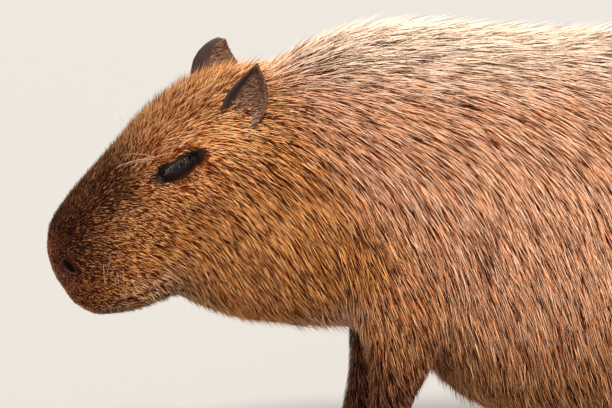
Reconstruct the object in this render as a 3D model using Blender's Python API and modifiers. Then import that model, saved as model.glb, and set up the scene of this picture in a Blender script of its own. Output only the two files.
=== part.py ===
"""A life-size capybara standing on four feet with its head lowered, as a still museum model.

The animal faces -X, its left side faces -Y and +Z is up. The outline runs out to the tips of the coat.
The body is lofted as one piece of flesh, smoothed, and then parted by thin cuts into its named parts.
"""

import math

import bmesh
import bpy
import numpy as np
from mathutils import Matrix, Vector

# General sizes, in metres
GAP = 0.0003
LEG_CUT_GAP = 0.0007
VOXEL = 0.005
SMOOTH_ROUNDS = 7
KEPT_SHARE = 0.0200
FLESH_RING = 48
FLESH_ROUNDS = 5
CUTTER_RING = 18
CUTTER_ROUNDS = 2

# Trunk and neck: x, top of the back, bottom of the belly, half width, height of the widest level
TRUNK_RISE_POWER = 2.1
TRUNK_DROP_POWER = 2.6
LIMB_POWER = 2.2
TRUNK_STATIONS = (
    (-0.445, 0.395, 0.262, 0.045, 0.330),
    (-0.415, 0.435, 0.243, 0.068, 0.340),
    (-0.370, 0.480, 0.228, 0.092, 0.345),
    (-0.310, 0.530, 0.217, 0.112, 0.350),
    (-0.245, 0.557, 0.215, 0.128, 0.345),
    (-0.185, 0.564, 0.205, 0.140, 0.335),
    (-0.130, 0.560, 0.142, 0.150, 0.315),
    (-0.075, 0.555, 0.112, 0.159, 0.300),
    (0.000, 0.550, 0.097, 0.168, 0.290),
    (0.090, 0.549, 0.092, 0.175, 0.285),
    (0.180, 0.545, 0.098, 0.177, 0.290),
    (0.280, 0.532, 0.124, 0.172, 0.300),
    (0.365, 0.503, 0.160, 0.160, 0.308),
    (0.435, 0.455, 0.196, 0.136, 0.310),
    (0.485, 0.398, 0.232, 0.098, 0.310),
    (0.512, 0.345, 0.272, 0.045, 0.308),
)

# Head: where its own axes start, its pitch below level, and its turn towards the animal's left
HEAD_START = Vector((-0.356, 0.0, 0.449))
HEAD_PITCH = math.radians(37.7)
HEAD_TURN = math.radians(8.0)
# Along the head from the ears to the nose: reach, top, bottom, half width, power of the section
HEAD_STATIONS = (
    (-0.105, 0.010, -0.085, 0.056, 2.0),
    (-0.055, 0.047, -0.112, 0.077, 2.0),
    (0.000, 0.0765, -0.130, 0.085, 2.1),
    (0.045, 0.0850, -0.132, 0.087, 2.15),
    (0.085, 0.0840, -0.124, 0.084, 2.25),
    (0.125, 0.0775, -0.113, 0.075, 2.4),
    (0.165, 0.0715, -0.103, 0.068, 2.6),
    (0.200, 0.0655, -0.092, 0.0640, 2.75),
    (0.232, 0.0575, -0.080, 0.0600, 2.75),
    (0.252, 0.0450, -0.068, 0.0530, 2.6),
    (0.268, 0.0240, -0.057, 0.0420, 2.4),
    (0.2765, 0.0010, -0.040, 0.0230, 2.0),
)
# Masses over the skull: reach, height, offset to each side, then the three radii
JOWL = (0.050, -0.056, 0.038, 0.076, 0.060, 0.050)
BROW = (0.088, 0.044, 0.038, 0.046, 0.030, 0.034)
NOSTRIL_MOUND = (0.240, 0.016, 0.031, 0.028, 0.022, 0.026)

EYE_REACH = 0.094
EYE_HEIGHT = 0.0335
EYE_SIDE = 0.0575
EYE_RADIUS = 0.0195
EYE_SIDES = 16
EYE_RINGS = 10
EYE_SLIT_LENGTH = 0.046
EYE_SLIT_HEIGHT = 0.017
EYE_SLIT_TILT = math.radians(8.0)

EAR_BASE = (0.010, 0.040, 0.060)
# Outline of each ear: height over its foot, then its front and rear edges ahead of the stem;
# the right ear is spread wider open than the left
EAR_ROWS = {
    -1: (
        (-0.0200, 0.0020, -0.0220),
        (-0.0090, 0.0070, -0.0270),
        (0.0010, 0.0095, -0.0320),
        (0.0120, 0.0107, -0.0352),
        (0.0220, 0.0092, -0.0358),
        (0.0320, 0.0060, -0.0335),
        (0.0420, 0.0018, -0.0288),
        (0.0507, -0.0025, -0.0213),
        (0.0570, -0.0055, -0.0140),
        (0.0605, -0.0072, -0.0085),
    ),
    1: (
        (-0.0200, 0.0050, -0.0220),
        (-0.0090, 0.0110, -0.0270),
        (0.0010, 0.0150, -0.0320),
        (0.0120, 0.0180, -0.0350),
        (0.0230, 0.0200, -0.0360),
        (0.0340, 0.0206, -0.0345),
        (0.0440, 0.0182, -0.0275),
        (0.0530, 0.0130, -0.0155),
        (0.0595, 0.0065, -0.0095),
        (0.0636, 0.0005, -0.0050),
    ),
}
EAR_COLUMNS = 8
EAR_THICKNESS = 0.0042
EAR_CUP = 0.015
EAR_CUP_FADE = 0.55
EAR_TIP_BEND = -0.006
EAR_LEAN_BACK = math.radians(17.0)
EAR_SPLAY = math.radians(13.0)
# The right ear is turned a little further back than the left
EAR_FACING = {-1: math.radians(24.0), 1: math.radians(8.0)}

# Legs, right and left alike: x, distance from the middle, z, half depth, half width
FORELEG_STATIONS = (
    (-0.185, 0.085, 0.400, 0.056, 0.036),
    (-0.194, 0.100, 0.320, 0.072, 0.043),
    (-0.195, 0.111, 0.258, 0.058, 0.043),
    (-0.196, 0.116, 0.208, 0.042, 0.038),
    (-0.208, 0.118, 0.150, 0.0255, 0.0290),
    (-0.214, 0.118, 0.100, 0.0230, 0.0260),
    (-0.221, 0.118, 0.062, 0.0240, 0.0280),
    (-0.234, 0.119, 0.032, 0.0260, 0.0330),
    (-0.246, 0.119, 0.010, 0.0180, 0.0260),
)
SHANK_STATIONS = (
    (0.340, 0.085, 0.410, 0.085, 0.045),
    (0.310, 0.108, 0.320, 0.110, 0.058),
    (0.290, 0.128, 0.240, 0.088, 0.053),
    (0.330, 0.137, 0.178, 0.062, 0.044),
    (0.382, 0.138, 0.132, 0.041, 0.034),
    (0.418, 0.136, 0.100, 0.029, 0.027),
    (0.434, 0.134, 0.080, 0.020, 0.020),
)
HINDFOOT_STATIONS = (
    (0.436, 0.134, 0.104, 0.018, 0.018),
    (0.415, 0.134, 0.080, 0.027, 0.026),
    (0.380, 0.135, 0.050, 0.0240, 0.0290),
    (0.340, 0.136, 0.024, 0.0230, 0.0350),
    (0.308, 0.136, 0.012, 0.0190, 0.0350),
)
# How far each leg stands behind its place above, keyed by side (-1 left, 1 right)
FORE_STEP = {-1: 0.0, 1: 0.010}
HIND_STEP = {-1: 0.0, 1: -0.030}
# Toes of one foot: middle of the knuckles, how far the outer toes spread, and each toe's own size
FOREFOOT_KNUCKLES = Vector((-0.252, 0.120, 0.0135))
FORE_TOE_ANGLES = (-27.0, -8.0, 10.0, 30.0)
FORE_TOE_LENGTHS = (0.040, 0.050, 0.050, 0.038)
HINDFOOT_KNUCKLES = Vector((0.302, 0.137, 0.0120))
HIND_TOE_ANGLES = (-22.0, 0.0, 22.0)
HIND_TOE_LENGTHS = (0.050, 0.060, 0.050)
FORE_TOE_SPACING = 0.0176
HIND_TOE_SPACING = 0.0235
TOE_RADIUS = 0.0140
# Knuckle and pad of a toe: place along it, half length as a share of it, and radius as a share
TOE_SWELLINGS = ((0.25, 0.55, 1.08), (0.62, 0.42, 1.0))
TOE_RINGS = 10
CLAW_LENGTH = 0.024
CLAW_HALF_WIDTH = 0.0080
CLAW_OUT = 0.010
CLAW_HEIGHT = 0.0112
CLAW_DROP = math.radians(14.0)
CLAW_TIP_SHARE = 0.42
CLAW_FLATNESS = 0.80
CLAW_SIDES = 10

TAIL_PLACE = Vector((0.500, 0.0, 0.338))
TAIL_RADII = (0.021, 0.014, 0.013)
TAIL_DROP = math.radians(35.0)

# Where the flesh is parted: a point of each plane and its slope, and the cutter round each leg
HEAD_CUT = (Vector((-0.302, 0.0, 0.380)), math.radians(4.0))
NECK_CUT = (Vector((-0.226, 0.0, 0.380)), math.radians(-5.0))
FORELEG_CUT = (
    (-0.255, 0.150, -0.040, 0.120, 0.100),
    (-0.255, 0.150, 0.050, 0.110, 0.100),
    (-0.215, 0.150, 0.150, 0.060, 0.098),
    (-0.200, 0.150, 0.220, 0.050, 0.096),
    (-0.198, 0.150, 0.300, 0.060, 0.094),
    (-0.190, 0.150, 0.370, 0.045, 0.090),
    (-0.186, 0.150, 0.400, 0.015, 0.080),
)
HINDLEG_CUT = (
    (0.345, 0.155, -0.040, 0.140, 0.092),
    (0.345, 0.155, 0.045, 0.135, 0.092),
    (0.367, 0.165, 0.100, 0.098, 0.085),
    (0.350, 0.162, 0.160, 0.110, 0.085),
    (0.332, 0.155, 0.220, 0.108, 0.088),
    (0.325, 0.150, 0.300, 0.100, 0.092),
    (0.335, 0.150, 0.380, 0.070, 0.090),
    (0.340, 0.150, 0.415, 0.020, 0.080),
)

SHARP_ANGLE = math.radians(40.0)

# Colours as plain reflectances
COAT_TAN = (0.30, 0.15, 0.070, 1.0)
COAT_RUST = (0.24, 0.10, 0.038, 1.0)
LEG_BROWN = (0.12, 0.060, 0.032, 1.0)
EAR_GREY = (0.075, 0.048, 0.036, 1.0)
EYE_DARK = (0.012, 0.008, 0.006, 1.0)
CLAW_HORN = (0.060, 0.045, 0.034, 1.0)


def clear_scene():
    for thing in list(bpy.data.objects):
        bpy.data.objects.remove(thing, do_unlink=True)


def material(name, colour, roughness):
    made = bpy.data.materials.new(name)
    made.use_nodes = True
    shader = made.node_tree.nodes["Principled BSDF"]
    shader.inputs["Base Color"].default_value = colour
    shader.inputs["Roughness"].default_value = roughness
    shader.inputs["Metallic"].default_value = 0.0
    return made


def collection(name):
    made = bpy.data.collections.new(name)
    bpy.context.scene.collection.children.link(made)
    return made


def add_object(name, mesh, home):
    thing = bpy.data.objects.new(name, mesh)
    home.objects.link(thing)
    return thing


def flow(stations, rounds):
    """Rows between the stations on a smooth curve that passes through each station."""
    rows = np.array(stations, dtype=float)
    padded = np.vstack((2 * rows[0] - rows[1], rows, 2 * rows[-1] - rows[-2]))
    smooth = []
    for index in range(len(rows) - 1):
        before, start, end, after = padded[index:index + 4]
        for share in np.arange(rounds) / rounds:
            slope_in = (end - before) / 2
            slope_out = (after - start) / 2
            cube = share ** 3
            square = share ** 2
            smooth.append(
                (2 * cube - 3 * square + 1) * start
                + (cube - 2 * square + share) * slope_in
                + (3 * square - 2 * cube) * end
                + (cube - square) * slope_out
            )
    smooth.append(rows[-1])
    return smooth


def rounded_section(half_width, rise, drop, rise_power, drop_power, count=FLESH_RING):
    """Across and up for each point of a section that is squarer the higher its power."""
    points = []
    for index in range(count):
        angle = 2 * math.pi * index / count
        side = math.cos(angle)
        level = math.sin(angle)
        power = rise_power if level >= 0 else drop_power
        reach = rise if level >= 0 else drop
        across = math.copysign(abs(side) ** (2 / power), side) * half_width
        up = math.copysign(abs(level) ** (2 / power), level) * reach
        points.append((across, up))
    return points


def skin_rings(shape, rings):
    """Join rings of points, one after the other, and close both ends."""
    loops = []
    for ring in rings:
        loops.append([shape.verts.new(point) for point in ring])
    for first, second in zip(loops, loops[1:]):
        for index in range(len(first)):
            after = (index + 1) % len(first)
            shape.faces.new((first[index], first[after], second[after]))
            shape.faces.new((first[index], second[after], second[index]))
    shape.faces.new(list(reversed(loops[0])))
    shape.faces.new(loops[-1])


def loft_trunk(shape):
    rings = []
    for x, top, bottom, half_width, widest in flow(TRUNK_STATIONS, FLESH_ROUNDS):
        section = rounded_section(
            half_width, top - widest, widest - bottom, TRUNK_RISE_POWER, TRUNK_DROP_POWER
        )
        rings.append([(x, across, widest + up) for across, up in section])
    skin_rings(shape, rings)


def head_axes():
    """Forward along the head, across it to the animal's left and up from it, as a placing matrix."""
    forward = Vector((
        -math.cos(HEAD_PITCH) * math.cos(HEAD_TURN),
        -math.cos(HEAD_PITCH) * math.sin(HEAD_TURN),
        -math.sin(HEAD_PITCH),
    ))
    across = Vector((math.sin(HEAD_TURN), -math.cos(HEAD_TURN), 0.0))
    up = forward.cross(across)
    placing = Matrix((forward, across, up)).transposed().to_4x4()
    placing.translation = HEAD_START
    return placing


def loft_head(shape, placing):
    rings = []
    for reach, top, bottom, half_width, power in flow(HEAD_STATIONS, FLESH_ROUNDS):
        middle = (top + bottom) / 2
        half_height = (top - bottom) / 2
        section = rounded_section(half_width, half_height, half_height, power, power)
        rings.append([placing @ Vector((reach, across, middle + up)) for across, up in section])
    skin_rings(shape, rings)


def add_ellipsoid(shape, placing, radii, rings=16):
    size = Matrix.Diagonal((radii[0], radii[1], radii[2], 1.0))
    bmesh.ops.create_uvsphere(shape, u_segments=2 * rings, v_segments=rings, radius=1.0, matrix=placing @ size)


def add_head_mass(shape, placing, mass, side):
    reach, height, offset, length, tall, wide = mass
    place = placing @ Matrix.Translation((reach, side * offset, height))
    add_ellipsoid(shape, place, (length, wide, tall))


def loft_limb(shape, stations, side, step, rounds=FLESH_ROUNDS, count=FLESH_RING, extra=0.0):
    """A limb on one side: rings square to its path, deep along X and wide along Y, grown by extra."""
    rows = flow(stations, rounds)
    middles = [Vector((row[0] + step[side], side * row[1], row[2])) for row in rows]
    rings = []
    for index, row in enumerate(rows):
        ahead = middles[min(index + 1, len(rows) - 1)]
        behind = middles[max(index - 1, 0)]
        run = (ahead - behind).normalized()
        across = Vector((0.0, 1.0, 0.0))
        along = across.cross(run).normalized()
        across = run.cross(along)
        section = rounded_section(
            row[4] + extra, row[3] + extra, row[3] + extra, LIMB_POWER, LIMB_POWER, count
        )
        past_end = {0: -extra, len(rows) - 1: extra}.get(index, 0.0)
        middle = middles[index] + run * past_end
        rings.append([middle + across * wide + along * deep for wide, deep in section])
    skin_rings(shape, rings)


def toe_places(knuckles, angles, lengths, spacing, side, step):
    """Start, direction and length of each toe of one foot, from the inner toe to the outer."""
    places = []
    middle = (len(angles) - 1) / 2
    for index, (angle, length) in enumerate(zip(angles, lengths)):
        turn = math.radians(angle)
        offset = (index - middle) * spacing
        start = Vector((knuckles.x + step[side], side * (knuckles.y + offset), knuckles.z))
        run = Vector((-math.cos(turn), side * math.sin(turn), 0.0))
        places.append((start, run, length))
    return places


def add_toe(shape, start, run, length):
    """A toe is two swellings, the knuckle and the pad, on one line."""
    turned = run.to_track_quat("X", "Z").to_matrix().to_4x4()
    for share, reach, radius in TOE_SWELLINGS:
        place = Matrix.Translation(start + run * length * share) @ turned
        radii = (length * reach, TOE_RADIUS * radius, TOE_RADIUS * radius)
        add_ellipsoid(shape, place, radii, TOE_RINGS)


def evaluated_mesh(thing):
    graph = bpy.context.evaluated_depsgraph_get()
    return bpy.data.meshes.new_from_object(thing.evaluated_get(graph), depsgraph=graph)


def bake_modifiers(thing):
    """Give the object the mesh that its modifiers make, and drop the modifiers."""
    mesh = evaluated_mesh(thing)
    thing.modifiers.clear()
    thing.data = mesh


def whole_body(home, placing):
    """All flesh but the ears in one closed, smoothed mesh with flat soles on the floor."""
    shape = bmesh.new()
    loft_trunk(shape)
    loft_head(shape, placing)
    for side in (-1, 1):
        for mass in (JOWL, BROW, NOSTRIL_MOUND):
            add_head_mass(shape, placing, mass, side)
        loft_limb(shape, FORELEG_STATIONS, side, FORE_STEP)
        loft_limb(shape, SHANK_STATIONS, side, HIND_STEP)
        loft_limb(shape, HINDFOOT_STATIONS, side, HIND_STEP)
        for start, run, length in fore_toes(side) + hind_toes(side):
            add_toe(shape, start, run, length)
    bmesh.ops.recalc_face_normals(shape, faces=shape.faces)
    mesh = bpy.data.meshes.new("flesh")
    shape.to_mesh(mesh)
    shape.free()
    body = add_object("flesh", mesh, home)
    remesh = body.modifiers.new("one skin", "REMESH")
    remesh.mode = "VOXEL"
    remesh.voxel_size = VOXEL
    smooth = body.modifiers.new("soften", "SMOOTH")
    smooth.factor = 0.5
    smooth.iterations = SMOOTH_ROUNDS
    lighten = body.modifiers.new("lighten", "DECIMATE")
    lighten.ratio = KEPT_SHARE
    bake_modifiers(body)
    keep_side(body, Vector((0.0, 0.0, 0.0)), Vector((0.0, 0.0, 1.0)))
    return body


def fore_toes(side):
    return toe_places(
        FOREFOOT_KNUCKLES, FORE_TOE_ANGLES, FORE_TOE_LENGTHS, FORE_TOE_SPACING, side, FORE_STEP
    )


def hind_toes(side):
    return toe_places(
        HINDFOOT_KNUCKLES, HIND_TOE_ANGLES, HIND_TOE_LENGTHS, HIND_TOE_SPACING, side, HIND_STEP
    )


def keep_side(thing, point, normal):
    """Cut a mesh by a plane, keep the side that the normal points to and close the cut."""
    shape = bmesh.new()
    shape.from_mesh(thing.data)
    everything = list(shape.verts) + list(shape.edges) + list(shape.faces)
    cut = bmesh.ops.bisect_plane(
        shape, geom=everything, dist=1e-7, plane_co=point, plane_no=normal, clear_inner=True
    )
    rim = [item for item in cut["geom_cut"] if isinstance(item, bmesh.types.BMEdge)]
    filled = bmesh.ops.holes_fill(shape, edges=rim, sides=0)
    bmesh.ops.triangulate(shape, faces=filled["faces"])
    bmesh.ops.recalc_face_normals(shape, faces=shape.faces)
    shape.to_mesh(thing.data)
    shape.free()


def copy_of(thing, name, home):
    return add_object(name, thing.data.copy(), home)


def cut_with(thing, cutter, operation):
    boolean = thing.modifiers.new("cut", "BOOLEAN")
    boolean.object = cutter
    boolean.operation = operation
    boolean.solver = "EXACT"
    bake_modifiers(thing)


def make_cutter(name, home, build):
    shape = bmesh.new()
    build(shape)
    bmesh.ops.recalc_face_normals(shape, faces=shape.faces)
    mesh = bpy.data.meshes.new(name)
    shape.to_mesh(mesh)
    shape.free()
    cutter = add_object(name, mesh, home)
    cutter.hide_render = True
    cutter.display_type = "WIRE"
    return cutter


def grown(thing, name, home, amount):
    """A copy whose surface lies the given amount outside the first."""
    def build(shape):
        shape.from_mesh(thing.data)
        shape.normal_update()
        moved = [vertex.co + vertex.normal * amount for vertex in shape.verts]
        for vertex, place in zip(shape.verts, moved):
            vertex.co = place
    return make_cutter(name, home, build)


def part_leg(body, name, stations, side, step, home, cutters):
    """Take one leg off the body, with a thin gap left between the two."""
    leg = copy_of(body, name, home)
    coarse = (CUTTER_ROUNDS, CUTTER_RING)
    snug = make_cutter(
        name + "_cut", cutters, lambda shape: loft_limb(shape, stations, side, step, *coarse)
    )
    loose = make_cutter(
        name + "_cut_wide", cutters,
        lambda shape: loft_limb(shape, stations, side, step, *coarse, LEG_CUT_GAP),
    )
    cut_with(leg, snug, "INTERSECT")
    cut_with(body, loose, "DIFFERENCE")
    return leg


def cut_plane(cut):
    """The plane of a cut across the neck: upright, but for its slope."""
    point, slope = cut
    ahead = Vector((-math.cos(slope), 0.0, -math.sin(slope)))
    return point, ahead


def fit_claws(leg, name, toes, home, cutters):
    """A blunt, hoof-like claw in a pocket at the tip of each toe."""
    for number, (start, run, length) in enumerate(toes, 1):
        tip = start + run * (length + CLAW_OUT - CLAW_LENGTH / 2)
        tip.z = CLAW_HEIGHT
        turned = run.to_track_quat("X", "Z").to_matrix().to_4x4()
        drop = Matrix.Rotation(CLAW_DROP, 4, "Y")
        place = Matrix.Translation(tip) @ turned @ drop
        claw = make_claw(f"{name}_{number}", place, home, 0.0)
        pocket = make_claw(f"{name}_{number}_pocket", place, cutters, GAP)
        pocket.hide_render = True
        pocket.display_type = "WIRE"
        cut_with(leg, pocket, "DIFFERENCE")
        finish(claw, "claw horn")


def make_claw(name, place, home, extra):
    shape = bmesh.new()
    squash = Matrix.Diagonal((1.0, 1.0, CLAW_FLATNESS, 1.0))
    lie = Matrix.Rotation(math.radians(90.0), 4, "Y")
    bmesh.ops.create_cone(
        shape, cap_ends=True, segments=CLAW_SIDES, radius1=CLAW_HALF_WIDTH + extra,
        radius2=CLAW_HALF_WIDTH * CLAW_TIP_SHARE + extra, depth=CLAW_LENGTH + 2 * extra,
        matrix=place @ squash @ lie,
    )
    mesh = bpy.data.meshes.new(name)
    shape.to_mesh(mesh)
    shape.free()
    return add_object(name, mesh, home)


def eye_place(placing, side):
    middle = Matrix.Translation((EYE_REACH, -side * EYE_SIDE, EYE_HEIGHT))
    tilt = Matrix.Rotation(-EYE_SLIT_TILT, 4, "Y")
    return placing @ middle @ tilt


def fit_eye(head, name, placing, side, home, cutters):
    """The ball sits in a round socket and shows through an almond slit between the lids."""
    place = eye_place(placing, side)
    shape = bmesh.new()
    bmesh.ops.create_uvsphere(
        shape, u_segments=EYE_SIDES, v_segments=EYE_RINGS, radius=EYE_RADIUS, matrix=place
    )
    mesh = bpy.data.meshes.new(name)
    shape.to_mesh(mesh)
    shape.free()
    ball = add_object(name, mesh, home)
    socket = make_cutter(
        name + "_socket", cutters,
        lambda cut: bmesh.ops.create_uvsphere(
            cut, u_segments=EYE_SIDES, v_segments=EYE_RINGS, radius=EYE_RADIUS + GAP, matrix=place
        ),
    )
    slit_place = place @ Matrix.Translation((0.0, -side * EYE_RADIUS, 0.0))
    slit = make_cutter(
        name + "_slit", cutters,
        lambda cut: add_ellipsoid(
            cut, slit_place, (EYE_SLIT_LENGTH / 2, EYE_RADIUS * 0.9, EYE_SLIT_HEIGHT / 2), 8
        ),
    )
    cut_with(head, socket, "DIFFERENCE")
    cut_with(head, slit, "DIFFERENCE")
    finish(ball, "eye dark")


def make_ear(name, placing, head_cutter, side, home):
    """A cupped leaf that stands on the head, open to the side, with its front edge turned in."""
    reach, height, offset = EAR_BASE
    base = placing @ Vector((reach, -side * offset, height))
    forward = Vector((-math.cos(HEAD_TURN), -math.sin(HEAD_TURN), 0.0))
    outward = Vector((-math.sin(HEAD_TURN), math.cos(HEAD_TURN), 0.0)) * side
    upward = Vector((0.0, 0.0, 1.0))
    stem = (upward * math.cos(EAR_LEAN_BACK) - forward * math.sin(EAR_LEAN_BACK)).normalized()
    stem = (stem * math.cos(EAR_SPLAY) + outward * math.sin(EAR_SPLAY)).normalized()
    facing = (outward * math.cos(EAR_FACING[side]) + forward * math.sin(EAR_FACING[side])).normalized()
    leaf = stem.cross(facing).normalized()
    if leaf.dot(forward) < 0:
        leaf.negate()
    facing = leaf.cross(stem).normalized()
    if facing.dot(outward) < 0:
        facing.negate()
    shape = bmesh.new()
    grid = []
    rows = EAR_ROWS[side]
    lowest = rows[0][0]
    highest = rows[-1][0]
    for rise, front, rear in rows:
        share = (rise - lowest) / (highest - lowest)
        line = []
        for column in range(EAR_COLUMNS + 1):
            swing = 2 * column / EAR_COLUMNS - 1
            ahead = (front + rear) / 2 + (front - rear) / 2 * swing
            hollow = EAR_CUP * (1 - share * EAR_CUP_FADE) * (swing ** 2 - 0.5)
            bend = EAR_TIP_BEND * share ** 2
            place = base + stem * rise + leaf * ahead + facing * (hollow + bend)
            line.append(shape.verts.new(place))
        grid.append(line)
    for lower, upper in zip(grid, grid[1:]):
        for column in range(EAR_COLUMNS):
            shape.faces.new((lower[column], lower[column + 1], upper[column + 1], upper[column]))
    mesh = bpy.data.meshes.new(name)
    shape.to_mesh(mesh)
    shape.free()
    ear = add_object(name, mesh, home)
    wall = ear.modifiers.new("wall", "SOLIDIFY")
    wall.thickness = EAR_THICKNESS
    wall.offset = 0.0
    bake_modifiers(ear)
    shape = bmesh.new()
    shape.from_mesh(ear.data)
    bmesh.ops.recalc_face_normals(shape, faces=shape.faces)
    shape.to_mesh(ear.data)
    shape.free()
    cut_with(ear, head_cutter, "DIFFERENCE")
    finish(ear, "ear leather")


def fit_tail(trunk, home, cutters):
    """The tail is only a small knob under the coat of the rump."""
    place = Matrix.Translation(TAIL_PLACE) @ Matrix.Rotation(TAIL_DROP, 4, "Y")
    shape = bmesh.new()
    add_ellipsoid(shape, place, TAIL_RADII, 6)
    mesh = bpy.data.meshes.new("tail")
    shape.to_mesh(mesh)
    shape.free()
    tail = add_object("tail", mesh, home)
    wider = [radius + GAP for radius in TAIL_RADII]
    pocket = make_cutter("tail_pocket", cutters, lambda cut: add_ellipsoid(cut, place, wider, 6))
    cut_with(trunk, pocket, "DIFFERENCE")
    finish(tail, "coat tan")


def finish(thing, material_name):
    thing.data.materials.clear()
    thing.data.materials.append(bpy.data.materials[material_name])
    thing.data.shade_smooth()
    thing.data.set_sharp_from_angle(angle=SHARP_ANGLE)


def centre_on_floor(things):
    """Put the origin under the middle of the whole animal, on the floor."""
    corners = np.array([vertex.co for thing in things for vertex in thing.data.vertices])
    middle = (corners.min(axis=0) + corners.max(axis=0)) / 2
    shift = Matrix.Translation((-middle[0], -middle[1], 0.0))
    for thing in things:
        thing.data.transform(shift)


clear_scene()
for label, tint, dullness in (
    ("coat tan", COAT_TAN, 0.75),
    ("coat rust", COAT_RUST, 0.75),
    ("leg brown", LEG_BROWN, 0.70),
    ("ear leather", EAR_GREY, 0.60),
    ("eye dark", EYE_DARK, 0.10),
    ("claw horn", CLAW_HORN, 0.45),
):
    material(label, tint, dullness)

animal = collection("capybara")
cutting = collection("cutters")
head_frame = head_axes()
trunk = whole_body(animal, head_frame)
trunk.name = "trunk"

for side, word in ((-1, "left"), (1, "right")):
    fore = part_leg(trunk, "foreleg_" + word, FORELEG_CUT, side, FORE_STEP, animal, cutting)
    fit_claws(fore, "foreclaw_" + word, fore_toes(side), animal, cutting)
    finish(fore, "leg brown")
    hind = part_leg(trunk, "hindleg_" + word, HINDLEG_CUT, side, HIND_STEP, animal, cutting)
    fit_claws(hind, "hindclaw_" + word, hind_toes(side), animal, cutting)
    finish(hind, "leg brown")

neck = copy_of(trunk, "neck", animal)
head = copy_of(trunk, "head", animal)
point, ahead = cut_plane(NECK_CUT)
keep_side(trunk, point, -ahead)
keep_side(neck, point + ahead * GAP, ahead)
point, ahead = cut_plane(HEAD_CUT)
keep_side(neck, point, -ahead)
keep_side(head, point + ahead * GAP, ahead)
finish(neck, "coat tan")

clearance = grown(head, "head_clearance", cutting, GAP)
for side, word in ((-1, "left"), (1, "right")):
    make_ear("ear_" + word, head_frame, clearance, side, animal)
    fit_eye(head, "eye_" + word, head_frame, side, animal, cutting)
finish(head, "coat rust")

fit_tail(trunk, animal, cutting)
finish(trunk, "coat tan")
centre_on_floor(list(animal.objects))
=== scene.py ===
import math

import bmesh
import bpy
import numpy as np
from mathutils import Matrix, Vector
from mathutils.bvhtree import BVHTree
from mathutils.kdtree import KDTree


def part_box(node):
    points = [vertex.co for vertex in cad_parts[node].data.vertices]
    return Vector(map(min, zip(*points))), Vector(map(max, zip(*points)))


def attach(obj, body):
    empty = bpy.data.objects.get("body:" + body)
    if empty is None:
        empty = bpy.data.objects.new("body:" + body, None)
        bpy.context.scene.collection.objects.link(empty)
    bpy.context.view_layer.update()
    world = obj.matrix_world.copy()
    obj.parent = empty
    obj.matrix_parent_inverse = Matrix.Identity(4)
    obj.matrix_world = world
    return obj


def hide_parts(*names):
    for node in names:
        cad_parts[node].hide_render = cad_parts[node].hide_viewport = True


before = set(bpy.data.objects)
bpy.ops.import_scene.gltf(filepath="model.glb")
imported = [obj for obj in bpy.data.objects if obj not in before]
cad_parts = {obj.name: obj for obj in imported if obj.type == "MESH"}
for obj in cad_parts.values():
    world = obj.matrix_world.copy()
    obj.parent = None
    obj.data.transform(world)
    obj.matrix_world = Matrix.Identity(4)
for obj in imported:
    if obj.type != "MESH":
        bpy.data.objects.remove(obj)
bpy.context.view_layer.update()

# Stand: a plain pale studio floor, broad soft lamps so far off that they light it evenly, one
# behind, one above and one by the camera, and the camera itself low on the animal's left, far off.
FLOOR_SIDE = 80.0
FLOOR_DROP = 0.0002
FLOOR_COLOUR = (0.3, 0.298, 0.295, 1.0)
CAMERA_TARGET = Vector((-0.256, 0.0, 0.354))
CAMERA_AZIMUTH = math.radians(7.0)
CAMERA_ELEVATION = math.radians(12.0)
CAMERA_DISTANCE = 3.86
CAMERA_LENS = 200.0
SENSOR_WIDTH = 36.0
SKY_TINT = (1.0, 0.985, 0.965, 1.0)
SKY_STRENGTH = 0.36
# Lamps: name, where it shines from, strength, spread in degrees and tint
LAMPS = (
    ("lamp_back", (0.08, 0.82, 1.00), 3.7, 14.0, (1.0, 0.93, 0.84)),
    ("lamp_top", (0.12, -0.64, 1.00), 4.5, 10.0, (1.0, 0.95, 0.88)),
    ("lamp_fill", (-0.8, -1.00, 0.45), 0.92, 40.0, (1.0, 0.98, 0.96)),
)


def named_object(name, mesh):
    thing = bpy.data.objects.new(name, mesh)
    bpy.context.scene.collection.objects.link(thing)
    return thing


def mesh_of(shape, name):
    """The mesh of a finished bmesh, which is freed."""
    mesh = bpy.data.meshes.new(name)
    shape.to_mesh(mesh)
    shape.free()
    return mesh


def mesh_from(shape, name):
    """Turn a finished bmesh into a named object."""
    return named_object(name, mesh_of(shape, name))


def plain_material(name, colour, roughness):
    made = bpy.data.materials.new(name)
    made.use_nodes = True
    shader = made.node_tree.nodes["Principled BSDF"]
    shader.inputs["Base Color"].default_value = colour
    shader.inputs["Roughness"].default_value = roughness
    return made


shape = bmesh.new()
bmesh.ops.create_grid(shape, x_segments=1, y_segments=1, size=FLOOR_SIDE / 2)
floor = mesh_from(shape, "floor")
floor.data.transform(Matrix.Translation((0.0, 0.0, -FLOOR_DROP)))
floor.data.materials.append(plain_material("floor paint", FLOOR_COLOUR, 0.85))

for name, source, power, spread, tint in LAMPS:
    light = bpy.data.lights.new(name, "SUN")
    light.angle = math.radians(spread)
    light.energy = power
    light.color = tint
    lamp = bpy.data.objects.new(name, light)
    lamp.rotation_euler = Vector(source).to_track_quat("Z", "Y").to_euler()
    bpy.context.scene.collection.objects.link(lamp)

studio = bpy.data.worlds.new("studio")
studio.use_nodes = True
sky = studio.node_tree.nodes["Background"]
sky.inputs["Color"].default_value = SKY_TINT
sky.inputs["Strength"].default_value = SKY_STRENGTH
bpy.context.scene.world = studio
bpy.context.scene.view_settings.view_transform = "Standard"

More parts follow.
